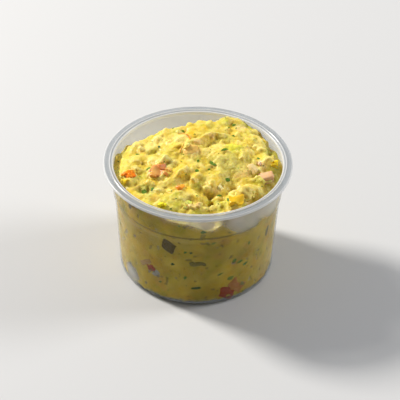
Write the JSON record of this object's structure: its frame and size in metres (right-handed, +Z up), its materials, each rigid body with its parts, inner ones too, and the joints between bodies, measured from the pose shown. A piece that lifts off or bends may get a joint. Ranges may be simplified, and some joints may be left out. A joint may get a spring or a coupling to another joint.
{
  "type": "guacamole in a plastic pot",
  "caption": "Chunky guacamole heaped in a round, thin, see-through plastic portion pot with a flat rim and a stepped wall.",
  "frame": {"origin": "centre of the pot's standing ring, on the table", "axes": "+Z up along the pot's turned axis; -Y towards the side seen in front"},
  "size_m": [0.075, 0.075, 0.053],
  "materials": {
    "clear_pot": "thin milky translucent polypropylene, glossy",
    "avocado_mash": null,
    "avocado_flesh": "moist, soft avocado flesh",
    "tomato": "wet diced tomato",
    "onion": "wet, slightly see-through diced onion",
    "herb": "chopped green leaf"
  },
  "bodies": {
    "root": {"cup": "clear_pot", "guacamole": "avocado_mash", "avocado_chunk_1": "avocado_flesh", "avocado_chunk_2": "avocado_flesh", "avocado_chunk_3": "avocado_flesh", "tomato_dice_1": "tomato", "tomato_dice_2": "tomato", "tomato_dice_3": "tomato", "onion_dice_1": "onion", "onion_dice_2": "onion"}
  },
  "joints": []
}
